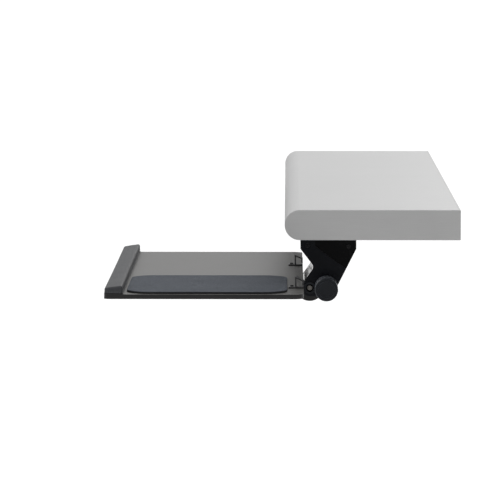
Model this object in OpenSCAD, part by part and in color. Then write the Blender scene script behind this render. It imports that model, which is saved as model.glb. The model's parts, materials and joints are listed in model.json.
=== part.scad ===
// Desk top with a keyboard tray that hangs from it on a swivelling, tilting arm.
// Millimetres. +Z is up, +X runs from the user towards the back of the desk, +Y to the user's left.
// The origin is on the underside of the desk top, at its middle.

/* [Desk top] */
// Width of the desk top, left to right
desk_w = 1200; // [760:10:1800]
// Depth of the desk top, front to back
desk_d = 245; // [200:5:800]
// Thickness of the desk top
desk_t = 42; // [30:1:60]
// Thickness of the laminate, and of the balancing sheet on the underside
laminate_t = 1; // [0.6:0.1:2]
// Thickness of the edging on the two ends and the back
edging_t = 2; // [1:0.5:4]
// From the front and back edges in to the threaded inserts
insert_inset_x = 42.5; // [35:0.5:80]
// From the two ends in to the threaded inserts
insert_inset_y = 50; // [20:5:70]
// Radius of an insert's bore, for an M6 screw
insert_bore_r = 3; // [2:0.5:4]
// Wall of an insert
insert_wall = 2; // [1.5:0.5:3]
// Depth of an insert
insert_h = 13; // [8:1:20]

/* [Swivel mount] */
// From the desk top's right-hand end to the swivel axis
arm_from_end = 210; // [140:5:400]
// From the end of the front edge's curve back to the mounting plate
plate_from_curve = 1.5; // [0:0.5:40]
// Thickness of the mounting plate's sheet
plate_t = 3; // [2:0.5:4]
// Depth of the dish in the mounting plate, flange included
dish_h = 11; // [9:0.5:16]
// Rim left between the dish and the plate's front edge
plate_rim = 3; // [2:0.5:6]
// Thickness of each plastic glide washer
glide_t = 2; // [1:0.5:4]
// Radius of the swivel bolt's shank
swivel_r = 5; // [4:0.5:6]
// Radius of the stop pin
stop_r = 3; // [2:0.5:4]
// Turn to each side, set by the stop pin in its curved slot
swivel_turn = 45; // [10:5:60]

/* [Arm] */
// Length of the arm's top, front to back
arm_top_d = 80; // [66:1:96]
// Width of the yoke over its two cheeks
yoke_w = 120; // [96:2:150]
// Thickness of the yoke's sheet steel
sheet_t = 3; // [2:0.5:4]
// Thickness of a side cover
cover_t = 6; // [5:0.5:8]
// Wall of a side cover
cover_wall = 2.4; // [1.6:0.2:3]
// Radius of the arm's end round the tilt pivot
pivot_end_r = 12; // [11:0.5:13]
// Radius of the arm's end round the clamp rod
clamp_end_r = 14; // [12:0.5:16]
// Radius of the tilt pivot pin
pivot_r = 4; // [3:0.5:5]
// Radius of the clamp rod
rod_r = 4; // [3:0.5:5]
// How far the front of the tray tips down
tilt_down = 15; // [5:1:18]

/* [Knob] */
// Radius of the knob's grip
knob_r = 16.5; // [12:0.5:22]
// Length of the knob
knob_l = 46; // [36:1:60]
// Number of grooves round the grip
knob_grooves = 24; // [10:1:30]

/* [Tray] */
// Width of the tray board, left to right
tray_w = 610; // [500:2:760]
// Depth of the tray board, front to back
tray_d = 274; // [260:2:340]
// Thickness of the tray board
tray_t = 6.4; // [5:0.2:8]
// From the underside of the desk top down to the top of the tray board
tray_drop = 66; // [58:1:84]
// Radius of the board's two back corners, seen from above
back_corner_r = 14; // [4:1:16]
// Radius of the board's two front corners, seen from above
front_corner_r = 8; // [2:1:12]

/* [Palm rest] */
// Depth of the palm rest, front to back
palm_d = 26; // [20:1:60]
// Height of the palm rest at its front
palm_front_h = 9; // [7:0.5:14]
// Height of the palm rest at its back
palm_back_h = 12.5; // [8:0.5:20]
// Thickness of the moulded strip that the foam is bonded to
palm_strip_t = 1.6; // [1:0.2:3]

/* [Mouse pad] */
// Depth of the mouse pad, front to back
pad_d = 221; // [150:1:224]
// Width of the mouse pad, left to right
pad_w = 222; // [180:2:260]
// Thickness of the pad's rubber
pad_rubber_t = 2.4; // [1.5:0.1:4]
// Thickness of the pad's cloth
pad_cloth_t = 0.6; // [0.4:0.1:1]
// Radius of the pad's corners
pad_corner_r = 34; // [10:1:60]
// From the board's right-hand edge in to the pad
pad_inset = 8; // [4:1:30]
// From the cable clips' feet forward to the pad
pad_from_clip = 2; // [1:0.5:20]

/* [Cable clips] */
// Depth of a clip's channel, walls included, front to back
clip_d = 12; // [11:0.5:16]
// Height of a clip at its front
clip_h = 16.5; // [15:0.5:22]
// Height of a clip at its back
clip_back_h = 11; // [9:0.5:14]
// Wall of a clip
clip_wall = 2; // [1.6:0.1:2.4]
// Length of a clip, left to right
clip_l = 20; // [12:1:30]
// From the board's right-hand edge to the middle of each clip
clip_from_edge = [90, 405]; // [60:5:500]

/* [Hidden] */
$fn = 64;

// Clearances
run_gap = 0.05;                  // round a pin that turns in its hole
face_gap = 0.1;                  // between two faces that slide on each other
free_gap = 0.3;                  // round what must never touch
cut = 1;                         // how far a cutting shape runs past the face that it cuts

// The arm's place under the desk top: u is measured back from the swivel axis
arm_setback = desk_t / 2 + plate_from_curve + arm_top_d / 2;
arm_x = -desk_d / 2 + arm_setback;
arm_y = -desk_w / 2 + arm_from_end;

// Heights down the swivel axis
dish_floor_z = -dish_h;
yoke_top_z = dish_floor_z - glide_t - face_gap;
yoke_web_z = yoke_top_z - sheet_t;
lower_glide_z = yoke_web_z - face_gap - glide_t;

// Swivel mount
dish_r = arm_top_d / 2 - plate_rim;
stop_circle_r = dish_r - plate_t - stop_r - 2;
glide_r = stop_circle_r - stop_r - 3;
swivel_hex_r = 1.96 * swivel_r;
bolt_head_h = min(6.4, dish_h - plate_t - 1);
washer_h = 1.5;
washer_wall = 6;
nut_h = 9;
nut_collar_h = 2.4;
thread_over = 3;                 // thread that shows past the nut

// Cross-head screws: shank radius, head radius, head height, and depth in the board
plate_screw = [2.25, 4.6, 2.8, 19];
tray_screw = [2.2, 4.2, 2.4, tray_t - 1.4];
screw_inset = [9, 7];            // in from the mounting plate's edges
cross = [4.4, 0.9, 1.4];         // length, width and depth of the driver's recess

// The arm's side view: [u, z]
shoulder_z = -26;
pivot_under_tray = 16;           // from the board's top down to the tilt pivot
pivot = [-26.5, -tray_drop - pivot_under_tray];
clamp = pivot + [23.5, 2];
notch = pivot + [6.5, 30];
notch_fillet_r = 7;
clamp_radius = norm(clamp - pivot);
clamp_angle = atan2(clamp[1] - pivot[1], clamp[0] - pivot[0]);

// Widths out from the middle of the arm
cheek_in = yoke_w / 2 - sheet_t;
cheek_out = yoke_w / 2;
cover_out = cheek_out + cover_t;
ear_t = 4;
ear_out = cheek_in - 1;
ear_in = ear_out - ear_t;
bush_wall = 1.5;

// Side covers
boss_h = 3;
boss_r = pivot_r + 4.4;
boss_recess_r = boss_r - 2.8;
boss_recess_h = boss_h + 1.5;
cover_screw = [1.6, 3, 1.8];     // shank radius, head radius, head height
cover_screw_points = [[-arm_top_d / 2 + 10, shoulder_z + 5], [arm_top_d / 2 - 11, shoulder_z + 3]];
cover_screw_sink = 2.2;
step_h = 1.2;                    // the upper panel lies this far below the lower one
step_line = [[-19, shoulder_z + 4], [24.5, shoulder_z - 28]];
clip_ring = [7, 1];              // radius and thickness of the pivot pin's retaining rings
clip_groove = 0.6;

// Clamp and knob
clamp_washer_r = 12;
clamp_washer_t = 2;
friction_wall = 6;
tube_wall = 2.5;
hub = [10, 4];                   // radius and length of the knob's collar
insert_hex_r = rod_r + 2.5;
insert_l = 22;
thread_spare = 8;                // from the rod's end to the knob's cap
knob_taper = 1.4;
groove_r = 1.1;
cap_r = knob_r - 4.5;
cap_t = 2;
cap_dish = 0.6;
knob_in = -cover_out - clamp_washer_t - face_gap;
knob_out = knob_in - knob_l;

// Tray and its bracket
tray_top_z = -tray_drop;
tray_back_u = pivot[0] - 9.5;
tray_front_u = tray_back_u - tray_d;
bracket_t = 3;
bracket_top_z = tray_top_z - tray_t;
bracket_front_u = pivot[0] - 123.5;
bracket_back_u = tray_back_u - 10;
ear_front_u = bracket_front_u + 30;
ear_front_h = 6;
lobe_r = pivot_end_r + 8;
slot_wall = 6;
slot_low = clamp_angle - tilt_down;
bracket_screw_us = [bracket_front_u + 14, bracket_back_u - 22];
bracket_screw_y = yoke_w / 2 - 26;

// Palm rest, mouse pad and clips
palm_edge_r = 2;
pad_low_y = -tray_w / 2 + pad_inset;
clip_foot = 9;
clip_mouth = 2.2;
clip_front_u = tray_back_u - clip_d;
pad_back_u = clip_front_u - clip_foot - pad_from_clip;
clip_screw = [1.5, 2.8, 1.6];    // shank radius, head radius, head height
clip_screw_u = clip_front_u - clip_foot / 2;
clip_ys = [for (d = clip_from_edge) -tray_w / 2 + d];

// ---------- geometry helpers ----------

function unit(v) = v / norm(v);
function left_of(v) = [-v[1], v[0]];

// The outward direction at which a straight edge leaves circle a for circle b, on the right-hand side
function tangent_out(a, ra, b, rb) =
    let (d = b - a, k = (ra - rb) / norm(d))
    k * unit(d) - sqrt(1 - k * k) * left_of(unit(d));

// A corner b between a and c, rounded with radius r
function fillet(a, b, c, r, steps = 8) =
    let (
        p = unit(a - b), q = unit(c - b),
        half = acos(p * q) / 2,
        centre = b + unit(p + q) * r / sin(half),
        from = b + p * r / tan(half) - centre,
        to = b + q * r / tan(half) - centre,
        start = atan2(from[1], from[0]),
        turn = atan2(to[1], to[0]) - start,
        sweep = turn > 180 ? turn - 360 : turn < -180 ? turn + 360 : turn
    )
    [for (i = [0:steps]) centre + r * [cos(start + sweep * i / steps), sin(start + sweep * i / steps)]];

// Point b of an outline, moved in by t on the left-hand side of the way a-b-c
function mitre(a, b, c, t) =
    let (n = left_of(unit(b - a)), m = left_of(unit(c - b)))
    b + t * (n + m) / (1 + n * m);

function inset_closed(pts, t) =
    let (n = len(pts))
    [for (i = [0:n - 1]) mitre(pts[(i + n - 1) % n], pts[i], pts[(i + 1) % n], t)];

function reversed(pts) = [for (i = [len(pts) - 1:-1:0]) pts[i]];

// Extrudes a side view (x, z) from y0 to y1
module upright(y0, y1) {
    translate([0, y1, 0]) rotate([90, 0, 0]) linear_extrude(y1 - y0) children();
}

// A round bar along Y from y0 to y1 at the side-view point p
module bar(p, r, y0, y1, fn = $fn) {
    translate([p[0], y1, p[1]]) rotate([90, 0, 0]) cylinder(r = r, h = y1 - y0, $fn = fn);
}

// A ring along Y from y0 to y1 at the side-view point p
module ring(p, r_out, r_in, y0, y1) {
    difference() {
        bar(p, r_out, y0, y1);
        bar(p, r_in, y0 - cut, y1 + cut);
    }
}

module ring_z(r_out, r_in, z0, z1) {
    translate([0, 0, z0]) difference() {
        cylinder(r = r_out, h = z1 - z0);
        translate([0, 0, -cut]) cylinder(r = r_in, h = z1 - z0 + 2 * cut);
    }
}

// A plan outline from (x0, y0) to (x1, y1), with one radius at low x and another at high x
module rounded_plan(x0, x1, y0, y1, r_low, r_high) {
    union() {
        translate([x0 + r_low, y0]) square([x1 - x0 - r_low - r_high, y1 - y0]);
        translate([x0, y0 + r_low]) square([r_low, y1 - y0 - 2 * r_low]);
        translate([x1 - r_high, y0 + r_high]) square([r_high, y1 - y0 - 2 * r_high]);
        for (y = [y0 + r_low, y1 - r_low]) translate([x0 + r_low, y]) circle(r = r_low);
        for (y = [y0 + r_high, y1 - r_high]) translate([x1 - r_high, y]) circle(r = r_high);
    }
}

module at_arm() {
    translate([arm_x, arm_y, 0]) children();
}

// Both sides of the arm: side is -1 on the right and 1 on the left
module on_side(side) {
    if (side > 0) children();
    else mirror([0, 1, 0]) children();
}

// ---------- desk top ----------

curve_end_x = -desk_d / 2 + desk_t / 2;

// Side view of the desk top with its fully rounded front edge, drawn in by t
module desk_profile(t) {
    union() {
        translate([curve_end_x, t]) square([desk_d - desk_t / 2, desk_t - 2 * t]);
        translate([curve_end_x, desk_t / 2]) circle(r = desk_t / 2 - t);
    }
}

// The desk top between its two end edgings, from z0 to z1
module desk_span(t, z0, z1) {
    intersection() {
        upright(-desk_w / 2 + edging_t, desk_w / 2 - edging_t) desk_profile(t);
        translate([-desk_d / 2, -desk_w / 2, z0]) cube([desk_d - edging_t, desk_w, z1 - z0]);
    }
}

module insert_places() {
    for (x = [-1, 1], y = [-1, 1])
        translate([x * (desk_d / 2 - insert_inset_x), y * (desk_w / 2 - insert_inset_y), 0]) children();
}

module plate_screw_places() {
    at_arm() for (x = [-1, 1], y = [-1, 1])
        translate([x * (arm_top_d / 2 - screw_inset[0]), y * (cover_out - screw_inset[1]), 0]) children();
}

module underside_holes() {
    insert_places() translate([0, 0, -cut])
        cylinder(r = insert_bore_r + insert_wall, h = insert_h + cut);
    plate_screw_places() translate([0, 0, -cut]) cylinder(r = plate_screw[0], h = plate_screw[3] + cut);
}

module desk_core() {
    color("burlywood") difference() {
        desk_span(laminate_t, laminate_t, desk_t - laminate_t);
        underside_holes();
    }
}

// The laminate wraps the top and the round front edge, and ends where the flat underside begins
module desk_laminate() {
    color("gainsboro") difference() {
        desk_span(0, 0, desk_t);
        upright(-desk_w, desk_w) desk_profile(laminate_t);
        translate([curve_end_x, -desk_w, -cut]) cube([desk_d, 2 * desk_w, desk_t / 2]);
    }
}

module desk_backer() {
    color("darkgray") difference() {
        translate([curve_end_x, -desk_w / 2 + edging_t, 0])
            cube([desk_d / 2 - edging_t - curve_end_x, desk_w - 2 * edging_t, laminate_t]);
        underside_holes();
    }
}

module end_edging(side) {
    y = side * (desk_w / 2 - edging_t / 2);
    color("gray") upright(y - edging_t / 2, y + edging_t / 2) desk_profile(0);
}

module back_edging() {
    color("gray") translate([desk_d / 2 - edging_t, -desk_w / 2 + edging_t, 0])
        cube([edging_t, desk_w - 2 * edging_t, desk_t]);
}

module threaded_inserts() {
    color("goldenrod") insert_places() ring_z(insert_bore_r + insert_wall, insert_bore_r, 0, insert_h);
}

// ---------- swivel mount ----------

module mounting_plate() {
    color("black") difference() {
        at_arm() union() {
            translate([-arm_top_d / 2, -cover_out, -plate_t]) cube([arm_top_d, 2 * cover_out, plate_t]);
            translate([0, 0, dish_floor_z]) cylinder(r = dish_r, h = dish_h);
        }
        at_arm() {
            translate([0, 0, dish_floor_z + plate_t]) cylinder(r = dish_r - plate_t, h = dish_h);
            translate([0, 0, -2 * dish_h]) cylinder(r = swivel_r, h = 4 * dish_h);
            translate([stop_circle_r, 0, -2 * dish_h]) cylinder(r = stop_r, h = 4 * dish_h);
        }
        plate_screw_places() translate([0, 0, -2 * plate_t]) cylinder(r = plate_screw[0], h = 4 * plate_t);
    }
}

// A cross-head screw that stands on the plane z, its shank going up and its head below
module cross_screw(screw, z, shank_h) {
    difference() {
        union() {
            translate([0, 0, z]) cylinder(r = screw[0], h = shank_h);
            translate([0, 0, z - screw[2]]) cylinder(r1 = 0.75 * screw[1], r2 = screw[1], h = screw[2]);
        }
        for (a = [0, 90]) translate([0, 0, z - screw[2] - cut]) rotate([0, 0, a])
            translate([-cross[0] / 2, -cross[1] / 2, 0]) cube([cross[0], cross[1], cross[2] + cut]);
    }
}

module mounting_screws() {
    color("dimgray") plate_screw_places() cross_screw(plate_screw, -plate_t, plate_t + plate_screw[3] - cut);
}

module stop_pin() {
    low_z = yoke_web_z - stop_r;
    color("silver") at_arm() translate([stop_circle_r, 0, low_z])
        cylinder(r = stop_r, h = dish_floor_z + plate_t - low_z);
}

nut_low_z = lower_glide_z - washer_h - nut_h;

module swivel_bolt() {
    shank_low_z = nut_low_z - thread_over;
    head_low_z = dish_floor_z + plate_t;
    color("silver") at_arm() union() {
        translate([0, 0, shank_low_z]) cylinder(r = swivel_r, h = head_low_z - shank_low_z);
        translate([0, 0, head_low_z]) cylinder(r = swivel_hex_r, h = bolt_head_h, $fn = 6);
    }
}

module swivel_washer() {
    color("silver") at_arm()
        ring_z(swivel_r + washer_wall, swivel_r, lower_glide_z - washer_h, lower_glide_z);
}

module swivel_nut() {
    color("silver") at_arm() difference() {
        union() {
            translate([0, 0, nut_low_z + nut_collar_h])
                cylinder(r = swivel_hex_r, h = nut_h - nut_collar_h, $fn = 6);
            translate([0, 0, nut_low_z]) cylinder(r = 0.8 * swivel_hex_r, h = nut_collar_h);
        }
        translate([0, 0, nut_low_z - cut]) cylinder(r = swivel_r, h = nut_h + 2 * cut);
    }
}

module upper_glide() {
    color("ivory") at_arm() ring_z(glide_r, swivel_r, dish_floor_z - glide_t, dish_floor_z);
}

module lower_glide() {
    color("ivory") at_arm() ring_z(glide_r - 3, swivel_r, lower_glide_z, lower_glide_z + glide_t);
}

// ---------- arm ----------

top_front = [-arm_top_d / 2, yoke_top_z];
shoulder_front = [-arm_top_d / 2, shoulder_z];
shoulder_back = [arm_top_d / 2, shoulder_z];
top_back = [arm_top_d / 2, yoke_top_z];
// Where the straight edges meet the two round ends
nose = pivot + pivot_end_r * tangent_out(notch, 0, pivot, pivot_end_r);
belly_out = tangent_out(pivot, pivot_end_r, clamp, clamp_end_r);
heel = clamp + clamp_end_r * tangent_out(clamp, clamp_end_r, shoulder_back, 0);
notch_arc = fillet(shoulder_front, notch, nose, notch_fillet_r);
arm_outline = concat(
    [top_front, shoulder_front], notch_arc,
    [nose, pivot + pivot_end_r * belly_out, clamp + clamp_end_r * belly_out, heel, shoulder_back, top_back]);

// The arm's side view, drawn in by t all round
module arm_side(t = 0) {
    union() {
        polygon(inset_closed(arm_outline, t));
        translate(pivot) circle(r = pivot_end_r - t);
        translate(clamp) circle(r = clamp_end_r - t);
    }
}

// The yoke's front sheet follows the front edge of the side view down to low_z
module front_web(low_z) {
    slope = unit(nose - notch);
    last = notch_arc[len(notch_arc) - 1];
    path = concat([top_front, shoulder_front], notch_arc, [last + slope * (low_z - last[1]) / slope[1]]);
    n = len(path);
    run_on = concat([top_front + [0, sheet_t]], path, [path[n - 1] + slope]);
    inner = [for (i = [1:n]) mitre(run_on[i - 1], run_on[i], run_on[i + 1], sheet_t)];
    polygon(concat(path, reversed(inner)));
}

function polar(r, a) = [r * cos(a), r * sin(a)];

// A slot of half-width w along a circle of radius r, from angle a0 to a1, with round ends
module arc_slot(r, w, a0, a1) {
    along = 16;
    end = 10;
    polygon(concat(
        [for (i = [0:along]) polar(r + w, a0 + (a1 - a0) * i / along)],
        [for (i = [1:end - 1]) polar(r, a1) + polar(w, a1 + 180 * i / end)],
        [for (i = [along:-1:0]) polar(r - w, a0 + (a1 - a0) * i / along)],
        [for (i = [1:end - 1]) polar(r, a0) + polar(w, a0 + 180 + 180 * i / end)]));
}

web_low_z = pivot[1] + 15;       // the full-width sheet stops short of the bracket's ears
tongue_low_z = pivot[1] + 8;     // between the ears it goes on down

module arm_yoke() {
    tongue = ear_in - 1;
    color("silver") at_arm() difference() {
        union() {
            for (side = [-1, 1]) on_side(side) upright(cheek_in, cheek_out) arm_side();
            upright(-cheek_in, cheek_in) front_web(web_low_z);
            upright(-tongue, tongue) front_web(tongue_low_z);
            translate([-arm_top_d / 2, -cheek_in, yoke_web_z]) cube([arm_top_d, 2 * cheek_in, sheet_t]);
        }
        translate([0, 0, yoke_web_z - cut]) cylinder(r = swivel_r + run_gap, h = sheet_t + 2 * cut);
        translate([0, 0, yoke_web_z - cut]) linear_extrude(sheet_t + 2 * cut)
            arc_slot(stop_circle_r, stop_r + free_gap, -swivel_turn - 1, swivel_turn + 1);
        bar(pivot, pivot_r, -cheek_out - cut, cheek_out + cut);
        bar(clamp, rod_r + run_gap, -cheek_out - cut, cheek_out + cut);
        for (p = cover_screw_points) bar(p, cover_screw[0], -cheek_out - cut, cheek_out + cut);
    }
}

// ---------- side covers ----------

module side_cover(side) {
    floor_y = cover_out - cover_wall;
    color([0.06, 0.06, 0.07]) at_arm() on_side(side) difference() {
        union() {
            upright(cheek_out, cover_out) arm_side();
            bar(pivot, boss_r, cheek_out, cover_out + boss_h);
        }
        // The hollow behind the face, round the posts for the pivot, the rod and the screws
        difference() {
            upright(cheek_out - cut, floor_y) arm_side(cover_wall);
            bar(pivot, boss_r, cheek_out, cover_out);
            bar(clamp, rod_r + 3, cheek_out, cover_out);
            for (p = cover_screw_points) bar(p, cover_screw[1] + 1.5, cheek_out, cover_out);
        }
        upright(cover_out - step_h, cover_out + cut) polygon([
            step_line[0], step_line[1], step_line[1] + [arm_top_d, 0],
            [arm_top_d, yoke_top_z + cut], [step_line[0][0], yoke_top_z + cut]
        ]);
        bar(pivot, pivot_r + run_gap, cheek_out - cut, cover_out + boss_h + cut);
        bar(pivot, boss_recess_r, cover_out + boss_h - boss_recess_h, cover_out + boss_h + cut);
        bar(pivot, clip_ring[0] + free_gap, cheek_out - cut, cheek_out + clip_ring[1] + free_gap);
        bar(clamp, rod_r + run_gap, cheek_out - cut, cover_out + cut);
        for (p = cover_screw_points) {
            bar(p, cover_screw[0], cheek_out - cut, cover_out + cut);
            bar(p, cover_screw[1] + free_gap, cover_out - cover_screw_sink, cover_out + cut);
        }
    }
}

module cover_screws() {
    head_y = cover_out - cover_screw_sink;
    color("dimgray") at_arm() for (side = [-1, 1]) on_side(side) for (p = cover_screw_points) difference() {
        union() {
            bar(p, cover_screw[0] - run_gap, cheek_in, head_y);
            bar(p, cover_screw[1], head_y, head_y + cover_screw[2]);
        }
        bar(p, 0.45 * cover_screw[1], head_y + cover_screw[2] / 2, head_y + cover_screw[2] + cut, 6);
    }
}

// ---------- tilt pivot and clamp ----------

// The pin is pressed into the cheeks, with a groove outside each cheek for its retaining ring
module pivot_pin() {
    end_y = cover_out + boss_h - boss_recess_h + 2;
    bevel = 0.8;
    groove_out_y = cheek_out + clip_ring[1];
    profile = [
        [0, 0], [pivot_r, 0], [pivot_r, cheek_out], [pivot_r - clip_groove, cheek_out],
        [pivot_r - clip_groove, groove_out_y], [pivot_r, groove_out_y], [pivot_r, end_y - bevel],
        [pivot_r - bevel, end_y], [0, end_y]
    ];
    color("silver") at_arm() for (side = [-1, 1]) on_side(side)
        translate([pivot[0], 0, pivot[1]]) rotate([-90, 0, 0]) rotate_extrude() polygon(profile);
}

module pivot_clips() {
    color("dimgray") at_arm() for (side = [-1, 1]) on_side(side) difference() {
        ring(pivot, clip_ring[0], pivot_r - clip_groove, cheek_out, cheek_out + clip_ring[1]);
        translate([pivot[0] - 0.65 * pivot_r, cheek_out - cut, pivot[1] - 2 * clip_ring[0]])
            cube([1.3 * pivot_r, clip_ring[1] + 2 * cut, 2 * clip_ring[0]]);
    }
}

// The rod's round head is on the left, and its thread takes the knob on the right
module clamp_rod() {
    head_r = 2.2 * rod_r;
    head_h = 0.8 * rod_r;
    rod_end = -knob_out - cap_t - thread_spare;
    dome = [for (a = [0:15:90]) [head_r * cos(a), cover_out + head_h * sin(a)]];
    color("silver") at_arm() translate([clamp[0], 0, clamp[1]]) rotate([-90, 0, 0]) rotate_extrude()
        polygon(concat([[0, -rod_end], [rod_r, -rod_end], [rod_r, cover_out]], dome));
}

module spacer_tube() {
    color("silver") at_arm()
        ring(clamp, rod_r + tube_wall, rod_r + run_gap, -ear_in + face_gap, ear_in - face_gap);
}

module friction_washers() {
    color("sienna") at_arm() for (side = [-1, 1]) on_side(side)
        ring(clamp, rod_r + friction_wall, rod_r + run_gap, ear_out + face_gap, cheek_in);
}

module clamp_washer() {
    color("silver") at_arm()
        ring(clamp, clamp_washer_r, rod_r + run_gap, -cover_out - clamp_washer_t, -cover_out - face_gap);
}

module knob_body() {
    grip_in = knob_in - hub[1];
    color([0.09, 0.1, 0.11]) at_arm() difference() {
        union() {
            bar(clamp, hub[0], grip_in, knob_in);
            bar(clamp, knob_r, knob_out + knob_taper, grip_in);
            translate([clamp[0], knob_out + knob_taper, clamp[1]]) rotate([90, 0, 0])
                cylinder(r1 = knob_r, r2 = knob_r - knob_taper, h = knob_taper);
        }
        for (i = [0:knob_grooves - 1]) {
            a = i * 360 / knob_grooves;
            bar(clamp + (knob_r + groove_r / 2) * [cos(a), sin(a)], groove_r, knob_out + 4, grip_in - 3, 20);
        }
        bar(clamp, cap_r, knob_out - cut, knob_out + cap_t);
        bar(clamp, rod_r + cut, knob_out, knob_in + cut);
        bar(clamp, insert_hex_r, knob_in - insert_l, knob_in + cut, 6);
    }
}

module knob_insert() {
    color("goldenrod") at_arm() difference() {
        bar(clamp, insert_hex_r, knob_in - insert_l, knob_in, 6);
        bar(clamp, rod_r + run_gap, knob_in - insert_l - cut, knob_in + cut);
    }
}

// A cap with a shallow dished face closes the knob's outer end
module knob_cap() {
    face = [for (i = [0:6]) [cap_r * (1 - i / 6), cap_dish * (1 - pow(1 - i / 6, 2))]];
    color([0.1, 0.11, 0.12]) at_arm() translate([clamp[0], knob_out, clamp[1]]) rotate([-90, 0, 0])
        rotate_extrude() polygon(concat([[0, cap_t], [cap_r, cap_t]], face));
}

// ---------- tray bracket ----------

// Side view of an ear: a gusset under the plate, a lobe round the pivot and a quadrant for the clamp rod
module ear_side() {
    quadrant_r = clamp_radius + rod_r + slot_wall;
    reach = 2 * quadrant_r;
    union() {
        polygon([
            [ear_front_u, bracket_top_z], [bracket_back_u, bracket_top_z],
            pivot + [4 - lobe_r, 2], pivot + [0, -lobe_r], pivot + [-lobe_r, -6],
            [ear_front_u, bracket_top_z - ear_front_h]
        ]);
        translate(pivot) circle(r = pivot_end_r);
        translate(pivot) intersection() {
            circle(r = lobe_r);
            polygon([
                [0, 0], reach * [cos(175), sin(175)], reach * [-1, -1], reach * [1, -1], reach * [1, 0]
            ]);
        }
        translate(pivot) intersection() {
            circle(r = quadrant_r);
            polygon([[0, 0], for (a = [slot_low - 22, slot_low, clamp_angle + 22]) reach * [cos(a), sin(a)]]);
        }
    }
}

module bracket_screw_places() {
    at_arm() for (u = bracket_screw_us, y = [-1, 1]) translate([u, y * bracket_screw_y, 0]) children();
}

module tray_bracket() {
    color([0.05, 0.05, 0.055]) difference() {
        at_arm() union() {
            for (side = [-1, 1]) on_side(side) upright(ear_in, ear_out) ear_side();
            translate([bracket_front_u, -ear_out, bracket_top_z - bracket_t])
                cube([bracket_back_u - bracket_front_u, 2 * ear_out, bracket_t]);
        }
        at_arm() {
            bar(pivot, pivot_r + bush_wall, -ear_out - cut, ear_out + cut);
            upright(-ear_out - cut, ear_out + cut) translate(pivot)
                arc_slot(clamp_radius, rod_r + free_gap, slot_low, clamp_angle);
        }
        bracket_screw_places() translate([0, 0, bracket_top_z - 2 * bracket_t])
            cylinder(r = tray_screw[0], h = 3 * bracket_t);
    }
}

module pivot_bush(side) {
    flange_r = pivot_end_r - 1;
    color("ivory") at_arm() on_side(side) union() {
        ring(pivot, pivot_r + bush_wall, pivot_r + run_gap, ear_in, ear_out);
        ring(pivot, flange_r, pivot_r + run_gap, ear_out, cheek_in - face_gap);
    }
}

module bracket_screws() {
    color("dimgray") bracket_screw_places()
        cross_screw(tray_screw, bracket_top_z - bracket_t, bracket_t + tray_screw[3]);
}

// ---------- tray ----------

module tray_plan() {
    rounded_plan(tray_front_u, tray_back_u, -tray_w / 2, tray_w / 2, front_corner_r, back_corner_r);
}

module clip_screw_places() {
    at_arm() for (y = clip_ys) translate([clip_screw_u, y, 0]) children();
}

module tray_board() {
    color([0.12, 0.12, 0.12]) difference() {
        at_arm() translate([0, 0, bracket_top_z]) linear_extrude(tray_t) tray_plan();
        bracket_screw_places() translate([0, 0, bracket_top_z - cut])
            cylinder(r = tray_screw[0], h = tray_screw[3] + cut);
        clip_screw_places() translate([0, 0, bracket_top_z - cut])
            cylinder(r = clip_screw[0], h = tray_t + 2 * cut);
    }
}

// A length of moulding across the tray, with the side view given, cut to the board's plan
module palm_moulding(points) {
    intersection() {
        upright(-tray_w / 2, tray_w / 2) polygon(points);
        translate([0, 0, tray_top_z - cut]) linear_extrude(palm_back_h + 2 * cut) tray_plan();
    }
}

palm_back_u = tray_front_u + palm_d;
palm_low_z = tray_top_z + palm_strip_t;

module palm_rest_strip() {
    color([0.07, 0.07, 0.08]) at_arm() palm_moulding([
        [tray_front_u, tray_top_z], [palm_back_u, tray_top_z],
        [palm_back_u, palm_low_z], [tray_front_u, palm_low_z]
    ]);
}

module palm_rest_foam() {
    low_front = [tray_front_u, palm_low_z];
    low_back = [palm_back_u, palm_low_z];
    top_front = [tray_front_u, tray_top_z + palm_front_h];
    top_back = [palm_back_u, tray_top_z + palm_back_h];
    color([0.35, 0.36, 0.38]) at_arm() palm_moulding(concat(
        [low_front, low_back],
        fillet(low_back, top_back, top_front, palm_edge_r),
        fillet(top_back, top_front, low_front, palm_edge_r)));
}

module pad_slab(z, t) {
    at_arm() translate([0, 0, z]) linear_extrude(t)
        rounded_plan(pad_back_u - pad_d, pad_back_u, pad_low_y, pad_low_y + pad_w,
            pad_corner_r, pad_corner_r);
}

module mouse_pad_rubber() {
    color([0.08, 0.08, 0.09]) pad_slab(tray_top_z, pad_rubber_t);
}

module mouse_pad_cloth() {
    color([0.4, 0.42, 0.46]) pad_slab(tray_top_z + pad_rubber_t, pad_cloth_t);
}

// ---------- cable clips ----------

// Side view of a clip: a screwed foot, an upright front wall, and a slanting roof whose back wall
// springs down to a narrow mouth, with the channel for cables inside
module clip_side() {
    z = tray_top_z;
    roof = clip_wall + (clip_h - clip_back_h) * clip_wall / clip_d;
    translate([0, z]) difference() {
        polygon([
            [clip_front_u - clip_foot, 0], [tray_back_u, 0], [tray_back_u, clip_back_h],
            [clip_front_u, clip_h], [clip_front_u, clip_wall], [clip_front_u - clip_foot, clip_wall]
        ]);
        polygon([
            [clip_front_u + clip_wall, clip_wall], [tray_back_u - clip_wall, clip_wall],
            [tray_back_u - clip_wall, clip_back_h - clip_wall / 2], [clip_front_u + clip_wall, clip_h - roof]
        ]);
        translate([tray_back_u - clip_wall - cut, clip_wall]) square([clip_wall + 2 * cut, clip_mouth]);
    }
}

module cable_clip(y) {
    color([0.3, 0.3, 0.31]) difference() {
        at_arm() upright(y - clip_l / 2, y + clip_l / 2) clip_side();
        clip_screw_places() translate([0, 0, tray_top_z - cut])
            cylinder(r = clip_screw[0], h = clip_wall + 2 * cut);
    }
}

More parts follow.
